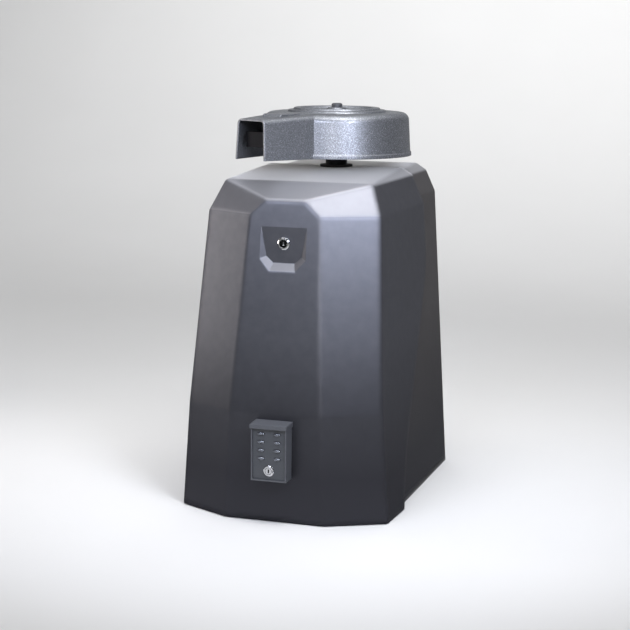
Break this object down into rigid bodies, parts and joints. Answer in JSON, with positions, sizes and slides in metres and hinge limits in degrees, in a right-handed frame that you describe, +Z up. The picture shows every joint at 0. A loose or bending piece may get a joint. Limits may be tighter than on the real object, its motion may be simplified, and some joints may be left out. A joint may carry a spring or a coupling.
{
  "type": "swing gate operator",
  "caption": "swing gate operator with a turning crank arm, faceted moulded cover, key lock and keypad box",
  "frame": {"origin": "on the mounting surface, under the output shaft's axis", "axes": "+Z up along the output shaft, the cover's nose towards -Y, +X to the viewer's right"},
  "size_m": [0.3892, 0.5439, 0.705],
  "materials": {
    "cover_plastic": "charcoal, moulded, fine grain",
    "arm_plastic": "grey, speckled, fine grain",
    "keypad_metal": "grey die casting, satin paint",
    "panel_plastic": "dark grey",
    "key_metal": "satin",
    "lock_chrome": "bright plate",
    "black_rubber": "matt black",
    "zinc_steel": "zinc plated",
    "black_steel": "black powder coat",
    "bright_steel": "ground",
    "grey_iron": "as cast, painted grey",
    "gear_bronze": "machined",
    "motor_paint": "dark blue grey",
    "core_steel": "varnished stack",
    "case_steel": "light grey",
    "board_green": "solder mask",
    "black_plastic": "moulded black",
    "red_plastic": "moulded red"
  },
  "bodies": {
    "base": {"base_plate": "black_steel", "frame_side_left": "black_steel", "frame_side_right": "black_steel", "reducer_shelf": "black_steel", "frame_top_plate": "black_steel", "reducer_housing": "grey_iron", "reducer_lid": "grey_iron", "worm_bearings": "bright_steel", "worm_end_caps": "grey_iron", "output_bearings": "bright_steel", "flange_bearing": "grey_iron", "drive_belt": "black_rubber", "motor_shell": "motor_paint", "motor_end_bells": "motor_paint", "motor_stator": "core_steel", "motor_bearings": "bright_steel", "motor_base": "black_steel", "motor_capacitor": "black_plastic", "control_box": "case_steel", "control_box_lid": "case_steel", "control_board": "board_green", "board_components": "black_plastic", "limit_sensors": "black_plastic", "limit_bracket": "zinc_steel", "rear_cover": "cover_plastic", "cover_seal": "black_rubber", "cover_brackets": "zinc_steel", "shaft_grommet": "black_rubber", "lock_striker": "zinc_steel", "frame_bolts": "zinc_steel"},
    "crank": {"output_shaft": "bright_steel", "worm_wheel": "gear_bronze", "limit_cams": "bright_steel", "crank_hub": "black_steel", "crank_bar": "black_steel", "clamp_bolts": "zinc_steel", "arm_cover": "arm_plastic", "arm_cover_nut": "keypad_metal"},
    "worm": {"worm_shaft": "bright_steel", "reducer_pulley": "grey_iron"},
    "motor": {"motor_rotor": "bright_steel", "motor_pulley": "grey_iron"},
    "cover": {"front_cover": "cover_plastic", "cover_lock_body": "lock_chrome", "keypad_body": "keypad_metal", "keypad_panel": "panel_plastic", "keypad_lock_body": "lock_chrome"},
    "cover_lock": {"cover_lock_plug": "lock_chrome", "cover_lock_cam": "zinc_steel"},
    "keypad_lock": {"keypad_lock_plug": "lock_chrome"},
    "power_rocker": {"power_switch": "black_plastic"},
    "reset": {"reset_button": "red_plastic"},
    "key_1": {"key_1": "key_metal"},
    "key_2": {"key_2": "key_metal"},
    "key_3": {"key_3": "key_metal"},
    "key_4": {"key_4": "key_metal"},
    "key_5": {"key_5": "key_metal"},
    "key_6": {"key_6": "key_metal"},
    "key_7": {"key_7": "key_metal"},
    "key_8": {"key_8": "key_metal"}
  },
  "joints": [
    {"name": "crank_turn", "type": "hinge", "parent": "base", "child": "crank", "pos_m": [0, 0, 0.6], "axis": [0, 0, 1], "range_deg": [-64, 116]},
    {"name": "worm_spin", "type": "hinge", "parent": "base", "child": "worm", "pos_m": [0, -0.078, 0.366], "axis": [1, 0, 0], "continuous": true},
    {"name": "motor_spin", "type": "hinge", "parent": "base", "child": "motor", "pos_m": [0, -0.01, 0.15], "axis": [1, 0, 0], "continuous": true},
    {"name": "cover_slide", "type": "slide", "parent": "base", "child": "cover", "axis": [0, -1, 0], "range_m": [0, 0.42]},
    {"name": "cover_lock_turn", "type": "hinge", "parent": "cover", "child": "cover_lock", "pos_m": [0, -0.2994, 0.479], "axis": [0, -1, 0], "range_deg": [0, 90]},
    {"name": "keypad_lock_turn", "type": "hinge", "parent": "cover", "child": "keypad_lock", "pos_m": [0, -0.375, 0.098], "axis": [0, -1, 0], "range_deg": [0, 90]},
    {"name": "power_rock", "type": "hinge", "parent": "base", "child": "power_rocker", "pos_m": [-0.045, -0.256, 0.365], "axis": [1, 0, 0], "range_deg": [-10, 10]},
    {"name": "reset_push", "type": "slide", "parent": "base", "child": "reset", "axis": [0, 1, 0], "range_m": [0, 0.003], "stiffness_N_per_m": 400},
    {"name": "key_1_push", "type": "slide", "parent": "cover", "child": "key_1", "axis": [0, 1, 0], "range_m": [0, 0.0015], "stiffness_N_per_m": 300},
    {"name": "key_2_push", "type": "slide", "parent": "cover", "child": "key_2", "axis": [0, 1, 0], "range_m": [0, 0.0015], "stiffness_N_per_m": 300},
    {"name": "key_3_push", "type": "slide", "parent": "cover", "child": "key_3", "axis": [0, 1, 0], "range_m": [0, 0.0015], "stiffness_N_per_m": 300},
    {"name": "key_4_push", "type": "slide", "parent": "cover", "child": "key_4", "axis": [0, 1, 0], "range_m": [0, 0.0015], "stiffness_N_per_m": 300},
    {"name": "key_5_push", "type": "slide", "parent": "cover", "child": "key_5", "axis": [0, 1, 0], "range_m": [0, 0.0015], "stiffness_N_per_m": 300},
    {"name": "key_6_push", "type": "slide", "parent": "cover", "child": "key_6", "axis": [0, 1, 0], "range_m": [0, 0.0015], "stiffness_N_per_m": 300},
    {"name": "key_7_push", "type": "slide", "parent": "cover", "child": "key_7", "axis": [0, 1, 0], "range_m": [0, 0.0015], "stiffness_N_per_m": 300},
    {"name": "key_8_push", "type": "slide", "parent": "cover", "child": "key_8", "axis": [0, 1, 0], "range_m": [0, 0.0015], "stiffness_N_per_m": 300}
  ],
  "couplings": [
    {"joint": "worm_spin", "follows": "crank_turn", "ratio": -40},
    {"joint": "motor_spin", "follows": "crank_turn", "ratio": -80}
  ]
}
